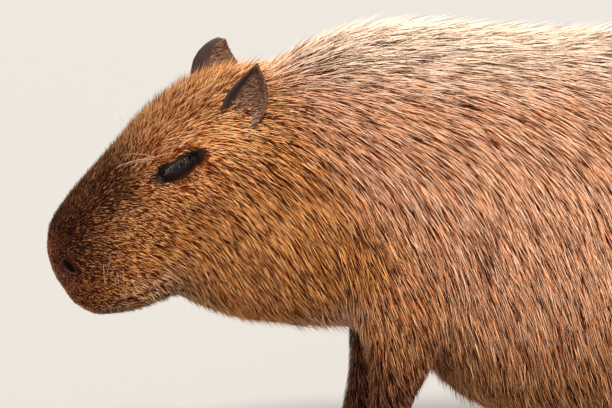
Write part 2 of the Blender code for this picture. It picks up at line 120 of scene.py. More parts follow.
outward = Vector((
    -math.sin(CAMERA_AZIMUTH) * math.cos(CAMERA_ELEVATION),
    -math.cos(CAMERA_AZIMUTH) * math.cos(CAMERA_ELEVATION),
    math.sin(CAMERA_ELEVATION),
))
camera = bpy.data.objects.new("camera", bpy.data.cameras.new("camera"))
camera.data.lens = CAMERA_LENS
camera.data.sensor_width = SENSOR_WIDTH
camera.location = CAMERA_TARGET + outward * CAMERA_DISTANCE
camera.rotation_euler = (-outward).to_track_quat("-Z", "Y").to_euler()
bpy.context.scene.collection.objects.link(camera)
bpy.context.scene.camera = camera

# Skin: one hide over the whole body, thick and dark, under the coat by the coat's own depth.
# It is drawn over the flesh in one piece, then worked at the lids, nostrils, mouth, ears and toes.
HEAD_PITCH = math.radians(37.7)
HEAD_TURN = math.radians(8.0)
EYE_REACH = 0.094
EYE_HEIGHT = 0.0335
EYE_TILT = math.radians(8.0)
SIDES = ("left", "right")
FLESH_NODES = (
    "trunk", "neck", "head", "tail", "foreleg_left", "foreleg_right", "hindleg_left", "hindleg_right",
)
SKIN_CELL = 0.00676
SKIN_SWELL = 0.0006
# Points of one CAD node closer than this are one point.
SAME_POINT = 0.00001
SKIN_SOFTENING = 6


def box_middle(node):
    low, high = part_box(node)
    return (low + high) / 2


forward = Vector((
    -math.cos(HEAD_PITCH) * math.cos(HEAD_TURN),
    -math.cos(HEAD_PITCH) * math.sin(HEAD_TURN),
    -math.sin(HEAD_PITCH),
))
leftward = Vector((math.sin(HEAD_TURN), -math.cos(HEAD_TURN), 0.0))
headward = forward.cross(leftward)
eyes_middle = (box_middle("eye_left") + box_middle("eye_right")) / 2
head_start = eyes_middle - forward * EYE_REACH - headward * EYE_HEIGHT
head_columns = np.array((forward, leftward, headward)).T


def head_places(points):
    """Reach along the head, offset to the animal's left and height over its middle line."""
    return (points - np.array(head_start)) @ head_columns


def head_point(reach, offset, height):
    return head_start + forward * reach + leftward * offset + headward * height


def ease(low, high, value):
    """0 at low, 1 at high, with soft ends; low may be the greater."""
    share = np.clip((value - low) / (high - low), 0.0, 1.0)
    return share * share * (3.0 - 2.0 * share)


def merged_copy(name):
    shape = bmesh.new()
    shape.from_mesh(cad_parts[name].data)
    bmesh.ops.remove_doubles(shape, verts=shape.verts, dist=SAME_POINT)
    return shape


def places_of(mesh):
    flat = np.empty(len(mesh.vertices) * 3)
    mesh.vertices.foreach_get("co", flat)
    return flat.reshape(-1, 3)


def normals_of(mesh):
    flat = np.empty(len(mesh.vertices) * 3, np.float32)
    mesh.vertex_normals.foreach_get("vector", flat)
    return flat.reshape(-1, 3).astype(float)


flesh = bmesh.new()
for name in FLESH_NODES + ("eye_left", "eye_right"):
    shape = merged_copy(name)
    shape.normal_update()
    swollen = [vertex.co + vertex.normal * SKIN_SWELL for vertex in shape.verts]
    for vertex, place in zip(shape.verts, swollen):
        vertex.co = place
    part = mesh_of(shape, name + "_copy")
    flesh.from_mesh(part)
    bpy.data.meshes.remove(part)
skin = mesh_from(flesh, "skin")
hide = skin.modifiers.new("hide", "REMESH")
hide.mode = "VOXEL"
hide.voxel_size = SKIN_CELL
soften = skin.modifiers.new("soften", "SMOOTH")
soften.factor = 0.5
soften.iterations = SKIN_SOFTENING
drawn = bpy.data.meshes.new_from_object(skin.evaluated_get(bpy.context.evaluated_depsgraph_get()))
skin.modifiers.clear()
skin.data = drawn


def search_over(*names):
    """A search tree over the CAD surfaces of some nodes."""
    corners = []
    faces = []
    for name in names:
        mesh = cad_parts[name].data
        start = len(corners)
        corners.extend(vertex.co.copy() for vertex in mesh.vertices)
        faces.extend([start + index for index in face.vertices] for face in mesh.polygons)
    return BVHTree.FromPolygons(corners, faces)


body_search = search_over("trunk", "neck", "head", "tail")
foreleg_search = search_over("foreleg_left", "foreleg_right")
hindleg_search = search_over("hindleg_left", "hindleg_right")


def distance_to(search, points):
    return np.array([search.find_nearest(Vector(point))[3] for point in points])


def leg_shares(points):
    """How far each point belongs to a foreleg and to a hind leg, from 0 on the body to 1."""
    from_body = distance_to(body_search, points)
    fore = ease(-0.02, 0.024, from_body - distance_to(foreleg_search, points))
    hind = ease(-0.026, 0.03, from_body - distance_to(hindleg_search, points))
    return fore, hind


def face_share(places):
    """1 on the head in front of the ears, fading to 0 on the neck."""
    reach, _, height = places.T
    return ease(-0.075, 0.000, reach) * ease(-0.2, -0.165, height)


def eye_frame(side_word):
    """Middle of the ball, and the axes along the slit, up across it and out of the head."""
    along = forward * math.cos(EYE_TILT) + headward * math.sin(EYE_TILT)
    across = headward * math.cos(EYE_TILT) - forward * math.sin(EYE_TILT)
    out = leftward if side_word == "left" else -leftward
    return box_middle("eye_" + side_word), along, across, out


def eye_placing(side_word):
    """The matrix that sets a shape drawn about its own middle into one socket."""
    middle, along, across, out = eye_frame(side_word)
    placing = Matrix((along, across, out)).transposed().to_4x4()
    placing.translation = middle
    return placing


def eye_places(points, side_word):
    middle, along, across, out = eye_frame(side_word)
    return (points - np.array(middle)) @ np.array((along, across, out)).T


# A distance, or a ring round an eye or nostril, that is past all that is asked of it
FAR_OFF = 9.0
MARGIN_HALF_LENGTH = 0.029
MARGIN_HALF_HEIGHT = 0.01


def lid_ring(points):
    """Under 1 on the bare margins round either eye, and larger away from them."""
    nearest = np.full(len(points), FAR_OFF)
    for word in SIDES:
        along, across, out = eye_places(points, word).T
        ring = np.sqrt((along / MARGIN_HALF_LENGTH) ** 2 + (across / MARGIN_HALF_HEIGHT) ** 2)
        nearest = np.where(out > 0.0, np.minimum(nearest, ring), nearest)
    return nearest


NOSTRIL_REACH = 0.2575
NOSTRIL_HEIGHT = 0.0175
NOSTRIL_HALF_HEIGHT = 0.0104
NOSTRIL_HALF_WIDTH = 0.0047
NOSTRIL_CURVE = 18.0


def nostril_ring(points):
    """Under 1 inside either nostril, a comma that leans back at its foot."""
    reach, offset, height = head_places(points).T
    up = height - NOSTRIL_HEIGHT
    back = NOSTRIL_REACH - reach - NOSTRIL_CURVE * up ** 2
    ring = np.sqrt((up / NOSTRIL_HALF_HEIGHT) ** 2 + (back / NOSTRIL_HALF_WIDTH) ** 2)
    return np.where((np.abs(offset) > 0.01) & (reach > 0.2), ring, FAR_OFF)


def hair_length(points, normals, fore, hind):
    """Longest on the back and rump, shorter towards the nose and down the legs."""
    x, y, z = points.T
    reach, offset, height = head_places(points).T
    trunk_length = 0.036 + 0.006 * ease(0.44, 0.52, z) + 0.003 * ease(0.38, 0.46, x)
    trunk_length -= 0.005 * ease(-0.16, -0.24, x)
    trunk_length -= 0.004 * ease(-0.3, -0.8, normals[:, 2])
    face_length = np.interp(
        reach,
        (-0.08, -0.03, 0.03, 0.07, 0.1, 0.14, 0.19, 0.235, 0.27),
        (0.031, 0.026, 0.018, 0.0135, 0.0115, 0.0092, 0.007, 0.0055, 0.004),
    )
    face_length += 0.009 * ease(0.000, -0.055, height) * ease(0.262, 0.175, reach)
    face_length += 0.004 * ease(0.035, 0.075, height) * ease(0.17, 0.08, reach)
    face_length *= 0.55 + 0.45 * ease(1.0, 2.0, lid_ring(points))
    face = face_share(head_places(points))
    length = trunk_length * (1 - face) + face_length * face
    fore_length = np.interp(
        z, (0.0, 0.02, 0.05, 0.1, 0.18, 0.26), (0.005, 0.007, 0.01, 0.014, 0.021, 0.03)
    )
    hind_length = np.interp(
        z, (0.0, 0.03, 0.08, 0.14, 0.22, 0.32), (0.005, 0.007, 0.011, 0.017, 0.027, 0.036)
    )
    length = length * (1 - fore) + fore_length * fore
    return length * (1 - hind) + hind_length * hind


def coat_depth(length):
    """How high the tips of the coat stand over the skin."""
    return np.interp(
        length, (0.004, 0.01, 0.018, 0.036, 0.045), (0.0012, 0.003, 0.0058, 0.0125, 0.015)
    )


points = places_of(skin.data)
normals = normals_of(skin.data)
fore, hind = leg_shares(points)
sunk = points - normals * coat_depth(hair_length(points, normals, fore, hind))[:, None]
sole = ease(0.01, 0.002, points[:, 2]) * ease(-0.5, -0.9, normals[:, 2])
sunk[:, 2] *= 1.0 - sole
skin.data.vertices.foreach_set("co", sunk.ravel())
skin.data.update()


def in_order(sequence, items):
    """Items of a mesh in the mesh's own order, so that each run works through them alike."""
    sequence.index_update()
    return sorted(items, key=lambda item: item.index)


def refine(shape, chosen):
    """Divide the faces whose middles are chosen once more."""
    shape.faces.ensure_lookup_table()
    middles = np.array([face.calc_center_median() for face in shape.faces])
    picked = np.nonzero(chosen(middles))[0]
    edges = {edge for index in picked for edge in shape.faces[index].edges}
    bmesh.ops.subdivide_edges(shape, edges=in_order(shape.edges, edges), cuts=1, use_grid_fill=True)


def near_eye(points, radius):
    close = np.zeros(len(points), bool)
    for word in SIDES:
        along, across, out = eye_places(points, word).T
        close |= (np.hypot(along, across * 1.25) < radius) & (out > 0.0)
    return close


MOUTH_LINE = ((0.27, -0.026), (0.255, -0.037), (0.235, -0.05), (0.205, -0.06), (0.172, -0.06))


def mouth_distance(points):
    """How far each point lies from the line of the closed mouth, seen from the side."""
    reach, _, height = head_places(points).T
    nearest = np.full(len(points), FAR_OFF)
    for (reach_1, height_1), (reach_2, height_2) in zip(MOUTH_LINE, MOUTH_LINE[1:]):
        run = np.array((reach_2 - reach_1, height_2 - height_1))
        aside = np.stack((reach - reach_1, height - height_1), axis=1)
        share = np.clip(aside @ run / (run @ run), 0.0, 1.0)
        nearest = np.minimum(nearest, np.linalg.norm(aside - share[:, None] * run, axis=1))
    return nearest


FOOT_HEIGHT = 0.048
shape = bmesh.new()
shape.from_mesh(skin.data)
refine(shape, lambda middles: (face_share(head_places(middles)) > 0.5) | (middles[:, 2] < FOOT_HEIGHT))
refine(shape, lambda middles: (
    near_eye(middles, 0.036) | (nostril_ring(middles) < 3.2) | (mouth_distance(middles) < 0.007)
))
refine(shape, lambda middles: near_eye(middles, 0.03) | (nostril_ring(middles) < 2.2))
bmesh.ops.smooth_vert(
    shape, verts=[vertex for vertex in shape.verts if vertex.co.x < -0.3 or vertex.co.z < 0.06],
    factor=0.5, use_axis_x=True, use_axis_y=True, use_axis_z=True,
)

SLIT_HALF = 0.0195
UPPER_LID = 0.007
LOWER_LID = 0.005
BALL_RADIUS = 0.0192
LID_WALL = 0.002
# Folds and furrows of the lids: rise, height over the slit, half width and half length
LID_FOLDS = (
    (0.0022, 0.0165, 0.0055, 0.026), (0.0011, -0.0125, 0.003, 0.018),
    (-0.0009, 0.0112, 0.0016, 0.019), (-0.0008, -0.0088, 0.0014, 0.016),
)


def lid_opening(along):
    return max(0.0, 1.0 - (along / SLIT_HALF) ** 2) ** 0.75


def local_middle(face, lifting):
    return (lifting @ face.calc_center_median()).y


def shape_lids(shape, side_word):
    """Slit the skin over one ball, draw the lids apart, lay them on the ball and turn their rims in."""
    middle, _, across, _ = eye_frame(side_word)
    placing = eye_placing(side_word)
    lifting = placing.inverted()

    def local(vertex):
        return lifting @ vertex.co

    def in_front(vertex):
        place = local(vertex)
        return abs(place.x) < 0.026 and abs(place.y) < 0.012 and place.z > 0.0

    faces = [face for face in shape.faces if all(in_front(vertex) for vertex in face.verts)]
    edges = in_order(shape.edges, {edge for face in faces for edge in face.edges})
    verts = in_order(shape.verts, {vertex for face in faces for vertex in face.verts})
    cut = bmesh.ops.bisect_plane(
        shape, geom=verts + edges + faces, dist=1e-5, plane_co=middle, plane_no=across
    )
    slit = [
        edge for edge in cut["geom_cut"] if isinstance(edge, bmesh.types.BMEdge)
        and all(abs(local(vertex).x) < SLIT_HALF for vertex in edge.verts)
    ]
    bmesh.ops.split_edges(shape, edges=slit)
    for vertex in shape.verts:
        place = local(vertex)
        ring = math.hypot(place.x, place.y)
        if place.z <= 0.0 or ring > 0.042:
            continue
        level = place.y
        if abs(level) < 2e-5:
            level = sum(local_middle(face, lifting) for face in vertex.link_faces)
        opening = lid_opening(place.x)
        if level > 0:
            place.y += UPPER_LID * opening * math.exp(-place.y / 0.0085)
        else:
            place.y -= LOWER_LID * opening * math.exp(place.y / 0.007)
        ring = math.hypot(place.x, place.y)
        over_ball = math.sqrt(max((BALL_RADIUS + LID_WALL) ** 2 - ring ** 2, 1e-6))
        held = 1.0 - float(ease(0.0125, 0.027, ring))
        place.z = place.z * (1.0 - held) + over_ball * held
        for rise, level, width, long in LID_FOLDS:
            place.z += rise * math.exp(-((place.y - level) / width) ** 2 - (place.x / long) ** 2)
        place.z -= 0.002 * math.exp(-((abs(place.x) - 0.0235) / 0.0038) ** 2 - (place.y / 0.003) ** 2)
        vertex.co = placing @ place
    rim = [edge for edge in shape.edges if edge.is_boundary]
    for reach in (BALL_RADIUS + 0.0002, BALL_RADIUS - 0.003):
        grown = bmesh.ops.extrude_edge_only(shape, edges=rim)["geom"]
        for vertex in grown:
            if isinstance(vertex, bmesh.types.BMVert):
                vertex.co = middle + (vertex.co - middle).normalized() * reach
        rim = [item for item in grown if isinstance(item, bmesh.types.BMEdge) and item.is_boundary]
    hole = bmesh.ops.holes_fill(shape, edges=rim, sides=0)
    bmesh.ops.triangulate(shape, faces=hole["faces"])


for word in SIDES:
    shape_lids(shape, word)

# Nostrils, mouth and the furrow of the nose are pressed in; the rims and lips swell a little.
shape.normal_update()
points = np.array([vertex.co for vertex in shape.verts])
normals = np.array([vertex.normal for vertex in shape.verts])
places = head_places(points)
reach, offset, height = places.T
ring = nostril_ring(points)
NOSTRIL_DEPTH = 0.0105
MOUTH_DEPTH = 0.0024
push = -NOSTRIL_DEPTH * ease(1.05, 0.45, ring)
push += 0.0005 * np.exp(-((ring - 1.5) / 0.4) ** 2)
mouth = mouth_distance(points)
push -= MOUTH_DEPTH * np.exp(-(mouth / 0.0019) ** 2) * ease(0.165, 0.185, reach)
push += 0.0012 * np.exp(-((mouth - 0.0055) / 0.003) ** 2) * ease(0.165, 0.19, reach)
furrow = ease(0.225, 0.245, reach) * ease(-0.034, -0.02, height)
push -= 0.0016 * np.exp(-(offset / 0.0022) ** 2) * furrow
push = np.where(face_share(places) > 0.5, push, 0.0)
for vertex, place in zip(shape.verts, points + normals * push[:, None]):
    vertex.co = place
bmesh.ops.recalc_face_normals(shape, faces=shape.faces)
shape.to_mesh(skin.data)
shape.free()


# Ear outlines: height over the foot, then the front and rear edges ahead of the stem; the right
# ear is spread wider open
EAR_ROWS = {
    "left": np.array((
        (-0.02, 0.002, -0.022), (-0.009, 0.007, -0.027), (0.001, 0.0095, -0.032),
        (0.012, 0.0107, -0.0352), (0.022, 0.0092, -0.0358), (0.032, 0.006, -0.0335),
        (0.042, 0.0018, -0.0288), (0.0507, -0.0025, -0.0213), (0.057, -0.0055, -0.014),
        (0.0605, -0.0072, -0.0085),
    )),
    "right": np.array((
        (-0.02, 0.005, -0.022), (-0.009, 0.011, -0.027), (0.001, 0.015, -0.032),
        (0.012, 0.018, -0.035), (0.023, 0.02, -0.036), (0.034, 0.0206, -0.0345),
        (0.044, 0.0182, -0.0275), (0.053, 0.013, -0.0155), (0.0595, 0.0065, -0.0095),
        (0.0636, 0.0005, -0.005),
    )),
}
EAR_LEAN_BACK = math.radians(17.0)
EAR_SPLAY = math.radians(13.0)
EAR_FACING = {"left": math.radians(24.0), "right": math.radians(8.0)}
EAR_WALL = 0.0022


def ear_frame(side_word):
    """Foot of the ear, its stem, the way its leaf widens to the front, and the way it opens."""
    side = -1 if side_word == "left" else 1
    base = head_point(0.01, -side * 0.06, 0.04)
    level = Vector((-math.cos(HEAD_TURN), -math.sin(HEAD_TURN), 0.0))
    aside = Vector((-math.sin(HEAD_TURN), math.cos(HEAD_TURN), 0.0)) * side
    stem = Vector((0.0, 0.0, math.cos(EAR_LEAN_BACK))) - level * math.sin(EAR_LEAN_BACK)
    stem = (stem * math.cos(EAR_SPLAY) + aside * math.sin(EAR_SPLAY)).normalized()
    opening = EAR_FACING[side_word]
    facing = (aside * math.cos(opening) + level * math.sin(opening)).normalized()
    leaf = stem.cross(facing).normalized()
    if leaf.dot(level) < 0:
        leaf.negate()
    facing = leaf.cross(stem).normalized()
    if facing.dot(aside) < 0:
        facing.negate()
    return base, stem, leaf, facing


def ear_point(side_word, share, swing):
    """A point of the leaf: share runs from foot to tip, swing from the rear edge to the front."""
    base, stem, leaf, facing = ear_frame(side_word)
    rises, fronts, rears = EAR_ROWS[side_word].T
    rise = rises[0] + (rises[-1] - rises[0]) * share
    front = np.interp(rise, rises, fronts)
    rear = np.interp(rise, rises, rears)
    ahead = (front + rear) / 2 + (front - rear) / 2 * swing
    hollow = 0.015 * (1 - share * 0.55) * (swing ** 2 - 0.5) - 0.006 * share ** 2
    hollow += 0.0045 * ease(0.62, 1.0, swing) * math.sin(math.pi * share)
    hollow += 0.003 * math.exp(-((swing - 0.15) / 0.16) ** 2) * ease(0.75, 0.35, share)
    hollow -= 0.0028 * math.exp(-((swing + 0.22) / 0.14) ** 2) * ease(0.8, 0.4, share)
    return base + stem * rise + leaf * ahead + facing * hollow


def leaf_of_ear(shape, side_word):
    """A thin cupped wall whose front edge is folded in."""
    grid = bmesh.ops.create_grid(shape, x_segments=26, y_segments=34, size=1.0)["verts"]
    for vertex in grid:
        swing, share = vertex.co.x, (vertex.co.y + 1) / 2
        vertex.co = ear_point(side_word, share, swing)
    faces = in_order(shape.faces, {face for vertex in grid for face in vertex.link_faces})
    bmesh.ops.recalc_face_normals(shape, faces=faces)
    wall = bmesh.ops.solidify(shape, geom=faces, thickness=EAR_WALL)["geom"]
    faces += [item for item in wall if isinstance(item, bmesh.types.BMFace)]
    bmesh.ops.recalc_face_normals(shape, faces=in_order(shape.faces, set(faces)))


shape = bmesh.new()
for word in SIDES:
    leaf_of_ear(shape, word)
ear_mesh = mesh_of(shape, "ears")
skin_corner_count = len(skin.data.vertices)
shape = bmesh.new()
shape.from_mesh(skin.data)
shape.from_mesh(ear_mesh)
shape.to_mesh(skin.data)
shape.free()
bpy.data.meshes.remove(ear_mesh)


def in_fixed_order(mesh):
    """The same mesh with its faces listed by their corners, so that each run grows the same hair."""
    rings = (list(face.vertices) for face in mesh.polygons)
    rings = sorted(ring[ring.index(min(ring)):] + ring[:ring.index(min(ring))] for ring in rings)
    ordered = bpy.data.meshes.new(mesh.name)
    ordered.from_pydata(places_of(mesh), [], rings)
    return ordered


skin.data = in_fixed_order(skin.data)

TAN = (0.7, 0.295, 0.143)
# Painted sunlight: the pale top of the back, where light falls from above
SUNLIT_SAND = (0.96, 0.79, 0.64)
# Painted shade: the deep brown of the lower body, throat and upper legs, where shade falls under the
# body
SHADE_UMBER = (0.27, 0.077, 0.01)
NECK_BROWN = (0.55, 0.215, 0.1)
RUST = (0.95, 0.4, 0.135)
AMBER = (0.68, 0.215, 0.046)
SOOT = (0.06, 0.0155, 0.0052)
NOSE_BLACK = (0.009, 0.005, 0.004)
NOSE_BROWN = (0.26, 0.08, 0.032)
CHEEK_GOLD = (0.52, 0.178, 0.043)
LEG_BROWN = (0.09, 0.028, 0.009)
TOE_GREY = (0.045, 0.028, 0.02)
EAR_GREY = (0.135, 0.06, 0.036)
EAR_RIM = (0.05, 0.03, 0.024)


def toned(colour, target, share):
    """Colour blended towards a target by each place's share; both may be one colour or one a place."""
    return np.array(colour) * (1 - share[:, None]) + np.array(target) * share[:, None]


def drift(points, scale, seed):
    """A slow, even wander between -1 and 1 over the body."""
    total = np.zeros(len(points))
    chance = np.random.default_rng(seed)
    for _ in range(5):
        wave = chance.normal(size=3) * scale
        total += np.sin(points @ wave + chance.uniform(0, 6.283))
    return total / 3.2


def coat_colours_and_light(points, normals, fore, hind):
    """The colour of the coat and of the skin under it at each place: its markings, with painted
    sunlight on the top of the back and painted shade low on the body, throat and upper legs.
    """
    x, y, z = points.T
    reach, offset, height = head_places(points).T
    face = face_share(head_places(points))
    # Painted sunlight: the coat pales on the top of the back, where the skin faces up
    colour = toned(TAN, SUNLIT_SAND, 0.85 * ease(0.475, 0.545, z) * ease(0.1, 0.8, normals[:, 2]))
    # Painted shade: darker down the lower flanks, chest and belly, under the body
    colour = toned(colour, SHADE_UMBER, 0.88 * ease(0.4, 0.18, z))
    colour = toned(colour, NECK_BROWN, 0.8 * ease(-0.1, -0.22, x) * ease(0.52, 0.42, z))
    around_eye = np.zeros(len(points))
    for word in SIDES:
        along, across, out = eye_places(points, word).T
        close = np.exp(-(along / 0.045) ** 2 - (across / 0.026) ** 2)
        around_eye = np.maximum(around_eye, np.where(out > -0.01, close, 0.0))
    snout = 0.85 * ease(0.17, 0.235, reach) * ease(-0.045, 0.005, height)
    lips = 0.75 * ease(0.205, 0.25, reach) * ease(-0.03, -0.045, height)
    bridge = ease(0.1, 0.165, reach + 0.35 * (height - 0.04)) * ease(-0.015, 0.045, height)
    chin = ease(0.15, 0.19, reach) * ease(-0.054, -0.076, height)
    throat = ease(-0.085, -0.125, height) * ease(0.12, 0.02, reach)
    head = CHEEK_GOLD
    for paint, share in (
        (RUST, ease(-0.02, 0.045, height)),
        (AMBER, 0.9 * around_eye),
        (SOOT, 0.94 * bridge),
        (SOOT, np.maximum(snout, lips)),
        (SOOT, 0.6 * chin),
        (NOSE_BROWN, 0.85 * ease(0.238, 0.26, reach) * ease(-0.06, -0.02, height)),
        (NOSE_BLACK, 0.7 * ease(1.9, 1.1, nostril_ring(points))),
        (NOSE_BLACK, ease(1.34, 1.04, lid_ring(points))),
        # painted shade on the throat under the jaw
        (SHADE_UMBER, 0.6 * throat),
    ):
        head = toned(head, paint, share)
    colour = toned(colour, head, face)
    # On the legs, painted shade under the body runs down into the leg brown
    foreleg = toned(toned(colour, SHADE_UMBER, 0.8 * ease(0.44, 0.26, z)), LEG_BROWN, ease(0.28, 0.18, z))
    hindleg = toned(toned(TAN, SHADE_UMBER, ease(0.34, 0.2, z)), LEG_BROWN, ease(0.2, 0.11, z))
    colour = toned(toned(colour, foreleg, fore), hindleg, hind)
    colour = toned(colour, TOE_GREY, ease(0.03, 0.012, z))
    wander = 1.0 + 0.1 * drift(points, 14.0, 5) + 0.07 * drift(points, 45.0, 6)
    return np.clip(colour * wander[:, None], 0.004, 0.95)


def store(mesh, name, values):
    """Keep one number or one colour for each corner of the mesh."""
    kind = "FLOAT" if values.ndim == 1 else "FLOAT_COLOR"
    layer = mesh.attributes.new(name, kind, "POINT")
    if values.ndim == 1:
        layer.data.foreach_set("value", values.astype(np.float32))
    else:
        four = np.ones((len(values), 4), np.float32)
        four[:, :3] = values
        layer.data.foreach_set("color", four.ravel())


points = places_of(skin.data)
normals = normals_of(skin.data)
fore, hind = leg_shares(points)
shade = coat_colours_and_light(points, normals, fore, hind)
is_ear = np.arange(len(points)) >= skin_corner_count
shade[is_ear] = np.array(EAR_GREY) * (1.0 + 0.25 * drift(points[is_ear], 60.0, 9))[:, None]


def ear_reach(points):
    """How near an ear's points lie to its front edge, from -1 at the rear to 1, and their height."""
    reach = np.zeros(len(points))
    rise = np.zeros(len(points))
    for word in SIDES:
        base, stem, leaf, _ = ear_frame(word)
        mine = (points[:, 1] < 0) == (word == "left")
        aside = points[mine] - np.array(base)
        up = aside @ np.array(stem)
        rises, fronts, rears = EAR_ROWS[word].T
        front = np.interp(up, rises, fronts)
        rear = np.interp(up, rises, rears)
        reach[mine] = (aside @ np.array(leaf) - (front + rear) / 2) / ((front - rear) / 2)
        rise[mine] = up
    return reach, rise


ear_front = np.zeros(len(points))
ear_front[is_ear] = ear_reach(points[is_ear])[0]
shade = toned(shade, EAR_RIM, ease(0.45, 0.62, ear_front) * is_ear)
naked = np.maximum(ease(1.12, 0.98, lid_ring(points)), ease(1.2, 0.98, nostril_ring(points)))
reach, offset, height = head_places(points).T
pad = ease(0.258, 0.27, reach) * ease(-0.02, -0.008, height) * ease(0.01, 0.005, np.abs(offset))
naked = np.maximum(naked, pad * face_share(head_places(points)))
naked = np.maximum(naked, ease(0.016, 0.006, points[:, 2]))
naked[is_ear] = 1.0
# Painted shade: the skin darkens deep inside the nostrils
nostril_shade = ease(1.15, 0.6, nostril_ring(points))
shade *= (1.0 - 0.9 * nostril_shade)[:, None]
# The stored colour holds painted sunlight and painted shade as well as the markings
store(skin.data, "paint_and_light", shade)
store(skin.data, "naked", naked)
skin.data.shade_smooth()


def wired(made, inputs):
    """A node with its inputs given, each as a fixed value or as the socket that feeds it."""
    for key, given in inputs.items():
        if isinstance(given, bpy.types.NodeSocket):
            made.id_data.links.new(given, made.inputs[key])
        else:
            made.inputs[key].default_value = given
    return made


def node(tree, kind, inputs=None, **settings):
    made = tree.nodes.new(kind)
    for key, value in settings.items():
        setattr(made, key, value)
    return wired(made, inputs or {})


def paint(material, inputs):
    """Give the shader of a material its inputs."""
    wired(material.node_tree.nodes["Principled BSDF"], inputs)


def attribute(tree, name, socket):
    made = node(tree, "ShaderNodeAttribute", attribute_name=name, attribute_type="GEOMETRY")
    return made.outputs[socket]


def noise(tree, scale, **inputs):
    """Noise over the object's own coordinates."""
    inputs = {"Vector": node(tree, "ShaderNodeTexCoord").outputs["Object"], "Scale": scale, **inputs}
    return node(tree, "ShaderNodeTexNoise", inputs).outputs["Fac"]


def mixed(tree, share, first, second, blend="MIX"):
    """Two colours mixed by a share; each of the three is a socket or a fixed value."""
    inputs = {0: share, 6: first, 7: second}
    return node(tree, "ShaderNodeMix", inputs, data_type="RGBA", blend_type=blend).outputs[2]


def ramp(tree, level, *stops):
    """A colour for each level, between stops of level and colour."""
    made = node(tree, "ShaderNodeValToRGB", {"Fac": level})
    elements = made.color_ramp.elements
    for index, (place, colour) in enumerate(stops):
        stop = elements[index] if index < 2 else elements.new(place)
        stop.position = place
        stop.color = colour
    return made.outputs["Color"]


def bumped(tree, height, strength, distance):
    inputs = {"Height": height, "Strength": strength, "Distance": distance}
    return node(tree, "ShaderNodeBump", inputs).outputs["Normal"]


def hide_grain_group():
    """Fine pores and creases for bare hide: a height for bump and a soft mottle for colour."""
    tree = bpy.data.node_groups.new("hide grain", "ShaderNodeTree")
    tree.interface.new_socket("Place", in_out="INPUT", socket_type="NodeSocketVector")
    tree.interface.new_socket("Height", in_out="OUTPUT", socket_type="NodeSocketFloat")
    tree.interface.new_socket("Mottle", in_out="OUTPUT", socket_type="NodeSocketFloat")
    place = node(tree, "NodeGroupInput").outputs["Place"]
    pores = node(tree, "ShaderNodeTexVoronoi", {"Vector": place, "Scale": 900.0}, feature="F1")
    creases, mottle = (
        node(tree, "ShaderNodeTexNoise", {"Vector": place, "Scale": scale, "Detail": detail})
        for scale, detail in ((260.0, 4.0), (45.0, 3.0))
    )
    inputs = {0: creases.outputs["Fac"], 1: 0.8, 2: pores.outputs["Distance"]}
    joined = node(tree, "ShaderNodeMath", inputs, operation="MULTIPLY_ADD")
    inputs = {"Height": joined.outputs[0], "Mottle": mottle.outputs["Fac"]}
    node(tree, "NodeGroupOutput", inputs)
    return tree


# What the colour of the coat is multiplied by in the underfur: painted shade under the coat
UNDERFUR_SHADE = (0.18, 0.08, 0.035, 1.0)


def hide_material():
    """Skin paint: the markings and their painted light, darkened under the coat by painted shade in the
    underfur, and grained where it is bare.
    """
    made = plain_material("hide", (0.2, 0.1, 0.06, 1.0), 0.7)
    tree = made.node_tree
    place = node(tree, "ShaderNodeTexCoord").outputs["Object"]
    grain = node(tree, "ShaderNodeGroup", node_tree=hide_grain_group())
    wired(grain, {"Place": place})
    colour = attribute(tree, "paint_and_light", "Color")
    bare = attribute(tree, "naked", "Fac")
    shaded_underfur = mixed(tree, 1.0, colour, UNDERFUR_SHADE, "MULTIPLY")
    spots = node(tree, "ShaderNodeMapRange", {
        "Value": grain.outputs["Mottle"], "From Min": 0.3, "From Max": 0.7,
        "To Min": 0.7, "To Max": 1.25,
    }).outputs["Result"]
    gloss = node(tree, "ShaderNodeMapRange", {"Value": bare, "To Min": 0.85, "To Max": 0.5})
    paint(made, {
        "Base Color": mixed(tree, 1.0, mixed(tree, bare, shaded_underfur, colour), spots, "MULTIPLY"),
        "Roughness": gloss.outputs["Result"],
        "Specular IOR Level": 0.09,
        "Normal": bumped(tree, grain.outputs["Height"], 0.35, 0.0008),
    })
    return made


skin.data.materials.clear()
skin.data.materials.append(hide_material())
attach(skin, "root")
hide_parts(*FLESH_NODES, "ear_left", "ear_right")

# Eyes: two dark wet balls as deep as real ones, with a slight cornea, a brown iris and a wide
# round pupil. Each lies in its socket behind the lids.
CORNEA_RISE = 0.0006
PUPIL = (0.0015, 0.001, 0.001, 1.0)
IRIS = (0.02, 0.01, 0.005, 1.0)
IRIS_RIM = (0.009, 0.005, 0.004, 1.0)
wet = plain_material("wet eye", IRIS_RIM, 0.06)
tree = wet.node_tree
inputs = {0: attribute(tree, "away", "Fac"), 1: 0.5}
angle = node(tree, "ShaderNodeMath", inputs, operation="MULTIPLY").outputs[0]
rings = ramp(tree, angle, (0.16, PUPIL), (0.2, IRIS), (0.42, IRIS_RIM))
lit = mixed(tree, 0.5, rings, noise(tree, 220.0), "MULTIPLY")
paint(wet, {"Base Color": lit, "Specular IOR Level": 0.3})
for word in SIDES:
    shape = bmesh.new()
    bmesh.ops.create_uvsphere(shape, u_segments=64, v_segments=40, radius=BALL_RADIUS)
    away = []
    for vertex in shape.verts:
        angle = math.acos(max(-1.0, min(1.0, vertex.co.z / BALL_RADIUS)))
        away.append(angle)
        vertex.co *= 1.0 + CORNEA_RISE / BALL_RADIUS * float(ease(0.75, 0.35, angle))
    shape.transform(eye_placing(word))
    ball = mesh_from(shape, "eyeball_" + word)
    store(ball.data, "away", np.array(away))
    ball.data.shade_smooth()
    ball.data.materials.append(wet)
    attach(ball, "root")
    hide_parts("eye_" + word)

